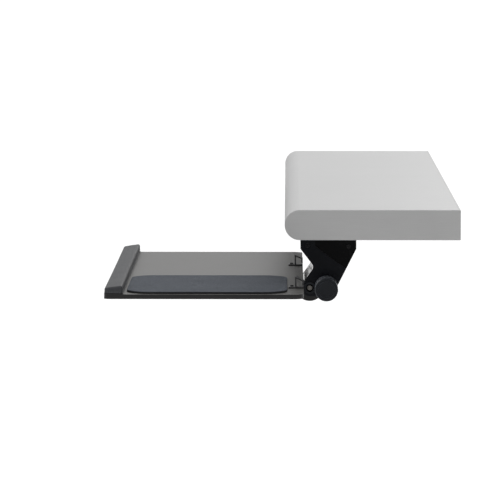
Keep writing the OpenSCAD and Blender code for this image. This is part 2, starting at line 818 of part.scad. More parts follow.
module clip_screws() {
    head_z = tray_top_z + clip_wall;
    color("silver") clip_screw_places() difference() {
        union() {
            translate([0, 0, bracket_top_z]) cylinder(r = clip_screw[0] - run_gap, h = tray_t + clip_wall);
            translate([0, 0, head_z])
                cylinder(r1 = clip_screw[1], r2 = 0.75 * clip_screw[1], h = clip_screw[2]);
        }
        translate([0, 0, head_z + clip_screw[2] / 2])
            cylinder(r = 0.4 * clip_screw[1], h = clip_screw[2], $fn = 6);
    }
}

// ---------- nodes ----------

desk_core();
desk_laminate();
desk_backer();
end_edging(-1);  // end_edging_right
end_edging(1);  // end_edging_left
back_edging();
threaded_inserts();
mounting_plate();
mounting_screws();
stop_pin();
swivel_bolt();
swivel_washer();
swivel_nut();
upper_glide();
lower_glide();
arm_yoke();
side_cover(-1);  // side_cover_right
side_cover(1);  // side_cover_left
cover_screws();
pivot_pin();
pivot_clips();
clamp_rod();
spacer_tube();
friction_washers();
clamp_washer();
knob_body();
knob_insert();
knob_cap();
tray_bracket();
pivot_bush(-1);  // pivot_bush_right
pivot_bush(1);  // pivot_bush_left
bracket_screws();
tray_board();
palm_rest_strip();
palm_rest_foam();
mouse_pad_rubber();
mouse_pad_cloth();
cable_clip(clip_ys[0]);  // cable_clip_right
cable_clip(clip_ys[1]);  // cable_clip_left
clip_screws();
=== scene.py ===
import json
import math

import bmesh
import bpy
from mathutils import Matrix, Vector
from mathutils.bvhtree import BVHTree


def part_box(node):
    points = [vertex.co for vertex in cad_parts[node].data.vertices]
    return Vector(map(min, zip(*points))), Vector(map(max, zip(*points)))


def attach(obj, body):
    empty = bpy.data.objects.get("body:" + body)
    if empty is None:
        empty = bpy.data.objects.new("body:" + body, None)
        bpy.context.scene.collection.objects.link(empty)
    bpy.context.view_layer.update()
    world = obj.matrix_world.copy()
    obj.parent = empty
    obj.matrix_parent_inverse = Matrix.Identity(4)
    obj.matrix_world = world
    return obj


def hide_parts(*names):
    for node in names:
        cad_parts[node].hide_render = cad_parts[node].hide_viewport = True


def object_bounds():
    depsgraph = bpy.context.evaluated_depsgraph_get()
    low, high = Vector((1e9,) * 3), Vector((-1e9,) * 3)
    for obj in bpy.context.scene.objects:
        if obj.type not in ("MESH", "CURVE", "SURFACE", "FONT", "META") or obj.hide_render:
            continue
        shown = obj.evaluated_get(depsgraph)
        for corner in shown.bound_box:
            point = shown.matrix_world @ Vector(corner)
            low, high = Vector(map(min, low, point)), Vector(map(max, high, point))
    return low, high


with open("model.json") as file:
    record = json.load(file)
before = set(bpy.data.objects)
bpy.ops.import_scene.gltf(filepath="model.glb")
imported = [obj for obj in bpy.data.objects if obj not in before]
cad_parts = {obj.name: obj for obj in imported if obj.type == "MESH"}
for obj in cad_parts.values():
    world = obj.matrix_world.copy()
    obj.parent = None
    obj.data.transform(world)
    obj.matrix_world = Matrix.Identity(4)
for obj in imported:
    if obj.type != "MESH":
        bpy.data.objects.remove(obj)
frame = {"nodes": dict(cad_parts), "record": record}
nodes = frame["nodes"]
cadLow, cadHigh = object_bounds()
mm = 0.001
print("frame loaded:", len(nodes), "nodes")


# node trees

class Signal:
    # a node's output that can be used in Python arithmetic

    def __init__(self, graph, socket):
        self.graph, self.socket = graph, socket

    def maths(self, operation, *values):
        return self.graph.node("ShaderNodeMath", {"operation": operation}, values)

    def __add__(self, other):
        return self.maths("ADD", self, other)

    def __radd__(self, other):
        return self.maths("ADD", other, self)

    def __sub__(self, other):
        return self.maths("SUBTRACT", self, other)

    def __rsub__(self, other):
        return self.maths("SUBTRACT", other, self)

    def __mul__(self, other):
        return self.maths("MULTIPLY", self, other)

    def __rmul__(self, other):
        return self.maths("MULTIPLY", other, self)

    def __truediv__(self, other):
        return self.maths("DIVIDE", self, other)

    def __rtruediv__(self, other):
        return self.maths("DIVIDE", other, self)

    def __gt__(self, other):
        return self.maths("GREATER_THAN", self, other)

    def __abs__(self):
        return self.maths("ABSOLUTE", self)

    def sine(self):
        return self.maths("SINE", self)

    def cosine(self):
        return self.maths("COSINE", self)

    def whole(self):
        return self.maths("ROUND", self)

    def atLeast(self, other):
        return self.maths("MAXIMUM", self, other)

    def atMost(self, other):
        return self.maths("MINIMUM", self, other)


class Graph:
    # a node tree whose nodes are made and wired by node()

    def __init__(self, tree):
        self.tree = tree

    def node(self, kind, settings=None, values=None, out=0):
        made = self.tree.nodes.new(kind)
        for key, value in (settings or {}).items():
            if key == "stops":
                setStops(made.color_ramp, value)
            else:
                setattr(made, key, value)
        pairs = values.items() if isinstance(values, dict) else enumerate(values or ())
        for key, value in pairs:
            if isinstance(value, (Signal, list)):
                for signal in value if isinstance(value, list) else [value]:
                    self.tree.links.new(signal.socket, made.inputs[key])
            else:
                made.inputs[key].default_value = value
        return Signal(self, made.outputs[out]) if made.outputs else None

    def split(self, vector):
        return [self.node("ShaderNodeSeparateXYZ", {}, [vector], out=axis) for axis in "XYZ"]

    def joined(self, x, y, z):
        return self.node("ShaderNodeCombineXYZ", {}, [x, y, z])


def colour(value):
    if isinstance(value, Signal):
        return value
    return (*value, 1.0) if hasattr(value, "__len__") else (value, value, value, 1.0)


def setStops(ramp, stops):
    while len(ramp.elements) < len(stops):
        ramp.elements.new(1.0)
    for element, (position, shade) in zip(ramp.elements, stops):
        element.position = position
        element.color = colour(shade)


class Finish(Graph):
    # one material, read in object coordinates

    def __init__(self, name):
        self.material = bpy.data.materials.new(name)
        self.material.use_nodes = True
        super().__init__(self.material.node_tree)
        self.tree.nodes.clear()
        self.place = self.node("ShaderNodeTexCoord", out="Object")

    def stretched(self, scale):
        return self.node("ShaderNodeMapping", {}, {"Vector": self.place, "Scale": scale})

    def noise(self, scale, detail=2.0, roughness=0.5, place=None):
        values = {"Vector": place or self.place, "Scale": scale, "Detail": detail,
                  "Roughness": roughness}
        return self.node("ShaderNodeTexNoise", {}, values)

    def cells(self, scale, place=None, feature="F1", out="Distance"):
        values = {"Vector": place or self.place, "Scale": scale}
        return self.node("ShaderNodeTexVoronoi", {"feature": feature}, values, out=out)

    def shadeOf(self, colours):
        return self.node("ShaderNodeSeparateColor", {}, [colours])

    def ramp(self, factor, stops):
        return self.node("ShaderNodeValToRGB", {"stops": stops}, [factor])

    def mix(self, factor, first, second):
        values = {0: factor, 6: colour(first), 7: colour(second)}
        return self.node("ShaderNodeMix", {"data_type": "RGBA"}, values, out=2)

    def bump(self, height, depth, strength=1.0):
        return self.node("ShaderNodeBump", {}, {"Height": height, "Distance": depth, "Strength": strength})

    def facingUp(self):
        # 1 on faces that look up or down, and 0 on upright ones
        lowest = 0.6
        normal = self.node("ShaderNodeNewGeometry", out="Normal")
        return abs(self.split(normal)[2]) > lowest

    def rim(self, node, width):
        # 1 at a flat piece's outline, seen from above, falling to 0 at this width inwards
        low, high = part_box(node)
        x, y = self.split(self.place)[:2]
        inFrom = (x - low.x).atMost(high.x - x).atMost(y - low.y).atMost(high.y - y)
        return (1 - inFrom / width).atLeast(0)

    def done(self, **sockets):
        named = {key.replace("_", " "): value for key, value in sockets.items()}
        shader = self.node("ShaderNodeBsdfPrincipled", {}, named, out="BSDF")
        self.node("ShaderNodeOutputMaterial", {}, {"Surface": shader})
        return self.material


class Recipe(Graph):
    # a Geometry Nodes tree with named inputs, run over a mesh by run()

    def __init__(self, name, sizes=(), counts=()):
        super().__init__(bpy.data.node_groups.new(name, "GeometryNodeTree"))
        sockets = [("Geometry", "NodeSocketGeometry"), ("Material", "NodeSocketMaterial")]
        sockets += [(label, "NodeSocketFloat") for label in sizes]
        sockets += [(label, "NodeSocketInt") for label in counts]
        for label, kind in sockets:
            self.tree.interface.new_socket(label, in_out="INPUT", socket_type=kind)
        self.tree.interface.new_socket("Geometry", in_out="OUTPUT", socket_type="NodeSocketGeometry")
        self.inputs = self.tree.nodes.new("NodeGroupInput")

    def given(self, label):
        return Signal(self, self.inputs.outputs[label])

    def position(self):
        return self.node("GeometryNodeInputPosition")

    def close(self, geometry):
        whole = self.node("GeometryNodeRealizeInstances", {}, [geometry])
        values = {"Geometry": whole, "Material": self.given("Material")}
        self.node("NodeGroupOutput", {}, [self.node("GeometryNodeSetMaterial", {}, values)])
        return self

    def run(self, mesh, finish, sizes):
        # the sizes are set before the tree is first evaluated
        holder = bpy.data.objects.new("holder", mesh)
        bpy.context.scene.collection.objects.link(holder)
        modifier = holder.modifiers.new(self.tree.name, "NODES")
        modifier.node_group = self.tree
        wanted = {"Material": finish, **sizes}
        for item in self.tree.interface.items_tree:
            if item.in_out == "INPUT" and item.name in wanted:
                modifier[item.identifier] = wanted[item.name]
        return settled(holder)


def settled(holder):
    # what a holder's modifiers make of its mesh, as a plain mesh
    mesh = bpy.data.meshes.new_from_object(holder.evaluated_get(bpy.context.evaluated_depsgraph_get()))
    bpy.data.objects.remove(holder)
    return mesh


# finishes

def laminateFinish():
    # printed sheet with faint streaks along the desk
    look = {"pale": 0.318, "dark": 0.294, "streakLength": 18, "streakCount": 420, "streakShare": 0.7,
            "cloud": 9.0, "grain": 1600, "rough": 0.40, "roughDrift": 0.16, "depth": 0.05 * mm,
            "relief": 0.5, "gloss": 0.3}
    f = Finish("laminate")
    across = look["streakCount"]
    streak = f.noise(1.0, 3.0, 0.6, f.stretched((look["streakLength"], across, across)))
    cloud = f.noise(look["cloud"])
    mixed = streak * look["streakShare"] + cloud * (1 - look["streakShare"])
    shade = f.ramp(mixed, [(0.30, look["dark"]), (0.72, look["pale"])])
    height = f.noise(look["grain"]) * 0.7 + streak * 0.3
    return f.done(Base_Color=shade, Roughness=look["rough"] + streak * look["roughDrift"],
                  Normal=f.bump(height, look["depth"], look["relief"]), Specular_IOR_Level=look["gloss"])


def edgingFinish():
    # thin strip, lightly brushed along its length
    look = {"pale": 0.338, "dark": 0.304, "grain": 2200, "cloud": 14, "brushed": (25, 25, 1500),
            "rough": 0.44, "roughDrift": 0.14, "depth": 0.04 * mm, "relief": 0.6, "gloss": 0.25}
    f = Finish("edging")
    grain = f.noise(look["grain"])
    drift = f.noise(look["cloud"])
    brushed = f.noise(1.0, place=f.stretched(look["brushed"]))
    shade = f.ramp(drift * 0.5 + brushed * 0.5, [(0.3, look["dark"]), (0.7, look["pale"])])
    return f.done(Base_Color=shade, Roughness=look["rough"] + grain * look["roughDrift"],
                  Normal=f.bump(grain + brushed * 0.5, look["depth"], look["relief"]),
                  Specular_IOR_Level=look["gloss"])


def chipboardFinish():
    look = {"chip": 260, "squash": (1.0, 1.6, 2.4), "dark": (0.30, 0.19, 0.10), "middle": (0.47, 0.33, 0.19),
            "pale": (0.62, 0.48, 0.31), "rough": 0.82, "depth": 0.4 * mm}
    f = Finish("chipboard")
    chip = f.shadeOf(f.cells(look["chip"], f.stretched(look["squash"]), out="Color"))
    shade = f.ramp(chip, [(0.0, look["dark"]), (0.5, look["middle"]), (1.0, look["pale"])])
    return f.done(Base_Color=shade, Roughness=look["rough"],
                  Normal=f.bump(f.cells(look["chip"]), look["depth"]))


def balancingFinish():
    look = {"fibre": (900, 90, 900), "cloud": 6, "dark": (0.30, 0.30, 0.295), "pale": (0.38, 0.38, 0.375),
            "rough": 0.55, "roughDrift": 0.15, "depth": 0.05 * mm, "relief": 0.5}
    f = Finish("balancingSheet")
    fibre = f.noise(1.0, 4.0, 0.6, f.stretched(look["fibre"]))
    cloud = f.noise(look["cloud"], 3.0)
    shade = f.ramp(fibre * 0.5 + cloud * 0.5, [(0.3, look["dark"]), (0.7, look["pale"])])
    return f.done(Base_Color=shade, Roughness=look["rough"] + fibre * look["roughDrift"],
                  Normal=f.bump(fibre, look["depth"], look["relief"]))


def powderCoatFinish(name, base, rough, peel, depth, gloss):
    # sprayed coat: a fine orange peel, with the colour drifting a little over the sheet
    look = {"cloud": 25, "darker": 0.8, "paler": 1.15, "roughDrift": 0.12, "relief": 0.6}
    f = Finish(name)
    peelNoise = f.noise(peel, 2.0, 0.55)
    shade = f.ramp(f.noise(look["cloud"]), [(0.3, base * look["darker"]), (0.7, base * look["paler"])])
    return f.done(Base_Color=shade, Roughness=rough + peelNoise * look["roughDrift"],
                  Normal=f.bump(peelNoise, depth, look["relief"]), Specular_IOR_Level=gloss)


def mouldingFinish(name, base, rough, gloss=0.14):
    # moulded plastic with a fine spark-eroded texture and faint flow marks; base is its colour
    look = {"spark": 2600, "fine": 4420, "flow": (30, 12, 60), "depth": 0.03 * mm, "relief": 0.6}
    f = Finish(name)
    pits = f.cells(look["spark"])
    fine = f.noise(look["fine"])
    flow = f.noise(1.0, place=f.stretched(look["flow"]))
    darker, paler = tuple(0.8 * c for c in base), tuple(1.2 * c for c in base)
    shade = f.ramp(flow, [(0.25, darker), (0.75, paler)])
    return f.done(Base_Color=shade, Roughness=rough + pits * 0.12 + flow * 0.02,
                  Normal=f.bump(pits * 0.6 + fine * 0.4, look["depth"], look["relief"]),
                  Specular_IOR_Level=gloss)


def coverFinish():
    # three tones of painted light and shade: the recesses and the upper panel are painted darkest as painted
    # shade, the lower panel, which stands proud, is painted paler as painted light, and the boss is painted
    # palest as a painted highlight
    look = {"pits": 2600, "flow": (30, 12, 60), "boss": 3 * mm, "step": 1.2 * mm,
            # upper is painted shade, lower is painted light, ring is a painted highlight on the boss
            "upper": (0.0013, 0.0014, 0.0017), "lower": (0.0062, 0.0069, 0.0088),
            "ring": (0.014, 0.0152, 0.018), "rough": 0.32, "depth": 0.03 * mm, "relief": 0.5, "gloss": 0.07}
    f = Finish("coverMoulding")
    near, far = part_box("side_cover_right")[0].y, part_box("side_cover_left")[1].y
    y = f.split(f.place)[1]
    belowBoss = (far - near) / 2 - abs(y - (near + far) / 2)
    onBoss = 1 - (belowBoss > look["boss"] / 2)
    onUpper = belowBoss > look["boss"] + look["step"] / 2
    flow = f.noise(1.0, place=f.stretched(look["flow"]))
    darker, paler = tuple(0.7 * c for c in look["lower"]), tuple(1.3 * c for c in look["lower"])
    # painted shade on the upper panel and in the recesses, painted light on the lower panel
    paintedPanelShade = f.mix(onUpper, f.mix(flow, darker, paler), look["upper"])
    pits = f.cells(look["pits"])
    return f.done(Base_Color=f.mix(onBoss, paintedPanelShade, look["ring"]),
                  Roughness=look["rough"] + pits * 0.1 + onUpper * 0.08,
                  Normal=f.bump(pits, look["depth"], look["relief"]), Specular_IOR_Level=look["gloss"])


def knobFinish():
    # the face is dark, and the fluted side is painted much paler as a painted highlight all round the side;
    # the side is also glossier
    look = {"pits": 1500, "face": (0.0090, 0.0102, 0.0125), "side": (0.075, 0.081, 0.092), "rough": 0.46,
            "rubbed": 0.16, "depth": 0.05 * mm, "relief": 0.5, "gloss": 0.12}
    f = Finish("knobMoulding")
    normal = f.node("ShaderNodeNewGeometry", out="Normal")
    sideways = 1 - abs(f.split(normal)[1])
    pits = f.cells(look["pits"])
    # the side tone is a painted highlight, set by how far the surface turns away from the face
    return f.done(Base_Color=f.mix(sideways, look["face"], look["side"]),
                  Roughness=look["rough"] - sideways * look["rubbed"] + pits * 0.1,
                  Normal=f.bump(pits, look["depth"], look["relief"]), Specular_IOR_Level=look["gloss"])


def zincFinish():
    look = {"facet": 700, "cloud": 60, "grain": 1500, "facetShare": 0.35, "dark": (0.50, 0.51, 0.52),
            "pale": (0.68, 0.69, 0.70), "rough": 0.26, "roughDrift": 0.16, "depth": 0.02 * mm, "relief": 0.4}
    f = Finish("zincPlate")
    facet = f.shadeOf(f.cells(look["facet"], out="Color"))
    cloud = f.noise(look["cloud"], 3.0)
    mixed = facet * look["facetShare"] + cloud * (1 - look["facetShare"])
    shade = f.ramp(mixed, [(0.25, look["dark"]), (0.75, look["pale"])])
    return f.done(Base_Color=shade, Metallic=1.0, Roughness=look["rough"] + cloud * look["roughDrift"],
                  Normal=f.bump(f.noise(look["grain"]), look["depth"], look["relief"]))


def brassFinish():
    look = {"turned": (400, 400, 4000), "dark": (0.62, 0.44, 0.18), "pale": (0.80, 0.62, 0.30),
            "rough": 0.28, "roughDrift": 0.15, "depth": 0.02 * mm, "relief": 0.4}
    f = Finish("brass")
    marks = f.noise(1.0, place=f.stretched(look["turned"]))
    shade = f.ramp(marks, [(0.3, look["dark"]), (0.7, look["pale"])])
    return f.done(Base_Color=shade, Metallic=1.0, Roughness=look["rough"] + marks * look["roughDrift"],
                  Normal=f.bump(marks, look["depth"], look["relief"]))


def nylonFinish():
    look = {"cloud": 180, "dark": (0.66, 0.63, 0.55), "pale": (0.76, 0.74, 0.68), "rough": 0.42,
            "roughDrift": 0.1, "depth": 0.02 * mm, "relief": 0.4}
    f = Finish("nylon")
    cloud = f.noise(look["cloud"], 3.0)
    shade = f.ramp(cloud, [(0.3, look["dark"]), (0.7, look["pale"])])
    return f.done(Base_Color=shade, Roughness=look["rough"] + cloud * look["roughDrift"],
                  Normal=f.bump(cloud, look["depth"], look["relief"]))


def blackOxideFinish():
    look = {"cloud": 400, "grain": 2000, "dark": (0.006, 0.006, 0.0065), "pale": (0.014, 0.014, 0.015),
            "rough": 0.40, "roughDrift": 0.2, "depth": 0.02 * mm, "relief": 0.4, "gloss": 0.12}
    f = Finish("blackOxide")
    cloud = f.noise(look["cloud"], 3.0)
    shade = f.ramp(cloud, [(0.3, look["dark"]), (0.75, look["pale"])])
    return f.done(Base_Color=shade, Roughness=look["rough"] + cloud * look["roughDrift"],
                  Normal=f.bump(f.noise(look["grain"]), look["depth"], look["relief"]),
                  Specular_IOR_Level=look["gloss"])


def burnishedFinish():
    # the pivot pin, rubbed to a dull brown-grey
    look = {"cloud": 500, "grain": 1800, "dark": (0.10, 0.095, 0.088), "pale": (0.19, 0.18, 0.165),
            "metal": 0.6, "rough": 0.42, "roughDrift": 0.15, "depth": 0.02 * mm, "relief": 0.4}
    f = Finish("burnishedPin")
    cloud = f.noise(look["cloud"], 3.0)
    shade = f.ramp(cloud, [(0.3, look["dark"]), (0.7, look["pale"])])
    return f.done(Base_Color=shade, Metallic=look["metal"],
                  Roughness=look["rough"] + cloud * look["roughDrift"],
                  Normal=f.bump(f.noise(look["grain"]), look["depth"], look["relief"]))


def fibreFinish():
    look = {"fibre": 900, "dark": (0.10, 0.055, 0.03), "pale": (0.20, 0.12, 0.07), "rough": 0.8,
            "depth": 0.06 * mm}
    f = Finish("pressedFibre")
    fibre = f.noise(look["fibre"], 4.0, 0.7)
    shade = f.ramp(fibre, [(0.3, look["dark"]), (0.7, look["pale"])])
    return f.done(Base_Color=shade, Roughness=look["rough"], Normal=f.bump(fibre, look["depth"]))


def phenolicFinish():
    # satin board: a dense speckle on the faces, pressed layers on the edges, and a rim worn a little paler
    look = {"speckle": 2400, "cloud": 16, "layers": (30, 30, 3600), "wear": 5 * mm, "wearPatches": 140,
            "faceDark": (0.026, 0.0255, 0.024), "facePale": (0.044, 0.043, 0.040),
            "edgeDark": (0.005, 0.005, 0.0055), "edgePale": (0.012, 0.0117, 0.0114),
            "worn": (0.085, 0.083, 0.078), "rough": 0.40, "depth": 0.03 * mm, "relief": 0.5, "gloss": 0.26}
    f = Finish("phenolicBoard")
    speckle = f.noise(look["speckle"], 2.0, 0.6)
    cloud = f.noise(look["cloud"], 3.0)
    layers = f.noise(1.0, place=f.stretched(look["layers"]))
    flat = f.facingUp()
    face = f.ramp(speckle * 0.6 + cloud * 0.4, [(0.35, look["faceDark"]), (0.65, look["facePale"])])
    edge = f.ramp(layers, [(0.35, look["edgeDark"]), (0.65, look["edgePale"])])
    worn = f.rim("tray_board", look["wear"]) * flat * f.noise(look["wearPatches"], 3.0)
    body = f.mix(worn * 0.7, f.mix(flat, edge, face), look["worn"])
    height = speckle * flat + layers * (1 - flat)
    return f.done(Base_Color=body, Roughness=look["rough"] + speckle * 0.10 + cloud * 0.05 - worn * 0.1,
                  Normal=f.bump(height, look["depth"], look["relief"]), Specular_IOR_Level=look["gloss"])


def palmCoverFinish():
    # grained leathercloth: pebbles of two sizes with creases between them, the creases painted darker as
    # painted shade
    look = {"pebble": 950, "small": 2100, "mottle": 300, "rubbed": 24, "pale": (0.036, 0.0375, 0.041),
            "crease": (0.012, 0.0125, 0.014), "worn": (0.050, 0.052, 0.056), "rough": 0.58,
            "depth": 0.22 * mm, "relief": 0.8, "gloss": 0.18}
    f = Finish("palmCover")
    pebble = f.cells(look["pebble"], feature="SMOOTH_F1")
    small = f.cells(look["small"])
    gap = f.cells(look["pebble"], feature="DISTANCE_TO_EDGE")
    mixed = gap * 3.0 + f.noise(look["mottle"]) * 0.35
    # the crease tone is painted shade in the hollows between the pebbles
    shade = f.ramp(mixed, [(0.1, look["crease"]), (0.7, look["pale"])])
    rubbed = f.noise(look["rubbed"], 3.0)
    grain = (1 - pebble) * 0.7 + (1 - small) * 0.3
    return f.done(Base_Color=f.mix(rubbed * 0.4, shade, look["worn"]),
                  Roughness=look["rough"] + small * 0.18 - rubbed * 0.08,
                  Normal=f.bump(grain, look["depth"], look["relief"]), Specular_IOR_Level=look["gloss"])


def padClothFinish():
    # fine knit: loops in rows, flecked with paler yarn
    look = {"pitch": 0.75 * mm, "fleck": 1500, "fuzz": 2400, "cloud": 22, "cloudShare": 0.08,
            "dark": (0.025, 0.029, 0.036), "middle": (0.044, 0.050, 0.060), "pale": (0.102, 0.109, 0.124),
            "rough": 0.88, "depth": 0.07 * mm, "relief": 0.6, "gloss": 0.08}
    f = Finish("padCloth")
    x, y = f.split(f.place)[:2]
    turn = 2 * math.pi / look["pitch"]
    rows = (x * turn + (y * (turn * 0.5)).sine() * 0.8).sine()
    loops = (y * turn).sine()
    share = look["cloudShare"]
    mixed = f.noise(look["cloud"], 3.0) * share + f.noise(look["fleck"], 1.0) * (1 - share)
    body = f.ramp(mixed, [(0.35, look["dark"]), (0.52, look["middle"]), (0.66, look["pale"])])
    height = (rows + loops) * 0.3 + f.noise(look["fuzz"]) * 0.8
    return f.done(Base_Color=body, Roughness=look["rough"] + loops * 0.04,
                  Normal=f.bump(height, look["depth"], look["relief"]), Specular_IOR_Level=look["gloss"])


def padRubberFinish():
    look = {"pores": 1500, "cloud": 60, "dark": (0.010, 0.010, 0.011), "pale": (0.030, 0.030, 0.032),
            "rough": 0.78, "roughDrift": 0.1, "depth": 0.12 * mm, "gloss": 0.15}
    f = Finish("padRubber")
    pores = f.cells(look["pores"])
    cloud = f.noise(look["cloud"])
    shade = f.ramp(pores * 0.5 + cloud * 0.5, [(0.2, look["dark"]), (0.8, look["pale"])])
    return f.done(Base_Color=shade, Roughness=look["rough"] + cloud * look["roughDrift"],
                  Normal=f.bump(pores, look["depth"]), Specular_IOR_Level=look["gloss"])


def threadFinish():
    look = {"twist": 5200, "dark": (0.045, 0.047, 0.052), "pale": (0.12, 0.125, 0.135), "rough": 0.7,
            "depth": 0.05 * mm}
    f = Finish("stitchThread")
    x, y, z = f.split(f.place)
    twist = ((y + x + z) * look["twist"]).sine()
    shade = f.ramp(twist * 0.5 + 0.5, [(0.2, look["dark"]), (0.8, look["pale"])])
    return f.done(Base_Color=shade, Roughness=look["rough"], Normal=f.bump(twist, look["depth"]))


finishes = {
    "laminate": laminateFinish(),
    "edging": edgingFinish(),
    "core_board": chipboardFinish(),
    "backer": balancingFinish(),
    "brass": brassFinish(),
    "zinc": zincFinish(),
    "nylon": nylonFinish(),
    "black_screw": blackOxideFinish(),
    "friction_fibre": fibreFinish(),
    "black_plate": powderCoatFinish("blackPowderCoat", base=0.014, rough=0.42, peel=900, depth=0.06 * mm,
                                    gloss=0.2),
    "arm_paint": powderCoatFinish("armPaint", base=0.090, rough=0.08, peel=500, depth=0.005 * mm, gloss=0.8),
    "cover_plastic": coverFinish(),
    "knob_plastic": knobFinish(),
    "moulded_strip": mouldingFinish("stripMoulding", base=(0.012, 0.012, 0.013), rough=0.40),
    "clip_plastic": mouldingFinish("clipMoulding", base=(0.030, 0.030, 0.031), rough=0.36, gloss=0.3),
    "phenolic": phenolicFinish(),
    "palm_cover": palmCoverFinish(),
    "pad_cloth": padClothFinish(),
    "pad_rubber": padRubberFinish(),
}
thread = threadFinish()
slotOf = {part["node"]: part["material_slot"] for part in frame["record"]["subparts"]}
bodyOf = {node: body for body, group in frame["record"]["behaviour"]["bodies"].items() for node in group}
print("finishes made:", len(finishes) + 2)  # with the thread and the burnished pin


def dress(shape, finish):
    shape.data.materials.clear()
    shape.data.materials.append(finish)


for nodeName, shape in nodes.items():
    dress(shape, finishes[slotOf[nodeName]])
dress(nodes["pivot_pin"], burnishedFinish())


# mesh helpers

def smooth(mesh, degrees=35):
    mesh.polygons.foreach_set("use_smooth", [True] * len(mesh.polygons))
    mesh.set_sharp_from_angle(angle=math.radians(degrees))


def place(name, mesh, node, finish=None, replaces=True):
    # puts a finished mesh in the scene on a CAD node's body, and mostly in place of that node
    piece = bpy.data.objects.new(name, mesh)
    bpy.context.scene.collection.objects.link(piece)
    dress(piece, finish or finishes[slotOf[node]])
    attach(piece, bodyOf[node])
    if replaces:
        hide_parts(node)
    return piece


def meshFrom(name, shape):
    mesh = bpy.data.meshes.new(name)
    shape.to_mesh(mesh)
    shape.free()
    return mesh


def closed(mesh, degrees=35):
    # merges a mesh's doubles and turns its faces outwards
    shape = bmesh.new()
    shape.from_mesh(mesh)
    bmesh.ops.remove_doubles(shape, verts=shape.verts, dist=1e-6)
    bmesh.ops.dissolve_degenerate(shape, edges=shape.edges, dist=1e-7)
    bmesh.ops.recalc_face_normals(shape, faces=shape.faces)
    made = meshFrom(mesh.name, shape)
    smooth(made, degrees)
    return made


def withModifier(mesh, kind, **settings):
    # runs one modifier over a mesh and returns the result as a plain mesh
    holder = bpy.data.objects.new("holder", mesh)
    bpy.context.scene.collection.objects.link(holder)
    modifier = holder.modifiers.new(kind.title(), kind)
    for key, value in settings.items():
        setattr(modifier, key, value)
    return settled(holder)


def turned(start, end, centre, radius, steps):
    # points on an arc in a plane, from one angle to another in degrees
    angles = [math.radians(start + (end - start) * i / steps) for i in range(steps + 1)]
    return [(centre[0] + radius * math.cos(a), centre[1] + radius * math.sin(a)) for a in angles]


# CAD pieces with eased edges

bevel = {"segments": 2, "roundedFrom": 32, "smoothBelow": 50, "flatWithin": 0.6, "weight": 100}


def eased(node, name, width):
    # a CAD piece with its sharp edges rounded over and its flat faces kept flat in the light
    shape = bmesh.new()
    shape.from_mesh(nodes[node].data)
    bmesh.ops.remove_doubles(shape, verts=shape.verts, dist=1e-6)
    flatAngle = math.radians(bevel["flatWithin"])
    bmesh.ops.dissolve_limit(shape, angle_limit=flatAngle, verts=shape.verts, edges=shape.edges)
    mesh = withModifier(meshFrom(name, shape), "BEVEL", width=width, segments=bevel["segments"],
                        limit_method="ANGLE", angle_limit=math.radians(bevel["roundedFrom"]),
                        use_clamp_overlap=True)
    smooth(mesh, bevel["smoothBelow"])
    mesh = withModifier(mesh, "WEIGHTED_NORMAL", keep_sharp=True, weight=bevel["weight"])
    place(name, mesh, node)


easing = {
    "end_edging_right": 0.5, "end_edging_left": 0.5, "back_edging": 0.5,
    "mounting_plate": 0.5, "arm_yoke": 0.5, "side_cover_right": 0.8, "side_cover_left": 0.8,
    "tray_bracket": 0.5, "tray_board": 0.9, "palm_rest_strip": 0.3, "mouse_pad_rubber": 0.5,
    "cable_clip_right": 0.35, "cable_clip_left": 0.35, "clamp_washer": 0.3, "swivel_nut": 0.3,
}
for nodeName, width in easing.items():
    words = nodeName.split("_")
    eased(nodeName, words[0] + "".join(word.title() for word in words[1:]), width * mm)
print("edges eased on", len(easing), "pieces")


# knob

def spinRecipe():
    # spins a profile round Y; each of its points holds a radius, a place along Y and a share of the flute
    r = Recipe("spunProfile", ["Flute depth"], ["Steps round", "Rows", "Flutes"])
    rows = r.given("Rows")
    values = {"Size X": 1.0, "Size Y": 1.0, "Vertices X": r.given("Steps round") + 1, "Vertices Y": rows}
    grid = r.node("GeometryNodeMeshGrid", {}, values)
    across, along = r.split(r.position())[:2]
    row = ((along + 0.5) * (rows - 1)).whole()
    values = {"Geometry": r.given("Geometry"), "Value": r.position(), "Index": row}
    found = r.node("GeometryNodeSampleIndex", {"data_type": "FLOAT_VECTOR", "domain": "POINT"}, values)
    radius, reach, share = r.split(found)
    turn = (across + 0.5) * (2 * math.pi)
    land = 0.2
    groove = ((turn * r.given("Flutes")).cosine() - land).atLeast(0) * (1 / (1 - land))
    wide = radius - groove * share * r.given("Flute depth")
    spot = r.joined(wide * turn.cosine(), reach, wide * turn.sine())
    spun = r.node("GeometryNodeSetPosition", {}, {"Geometry": grid, "Position": spot})
    return r.close(r.node("GeometryNodeMergeByDistance", {}, {"Geometry": spun, "Distance": 1e-6}))


spin = spinRecipe()


def spun(name, profile, centre, finish, sizes):
    # a solid of revolution round an axis along Y through the centre
    mesh = bpy.data.meshes.new(name)
    mesh.from_pydata([(*point, 0.0) if len(point) == 2 else point for point in profile], [], [])
    made = closed(spin.run(mesh, finish, {**sizes, "Rows": len(profile)}))
    for vertex in made.vertices:
        vertex.co += centre
    return made


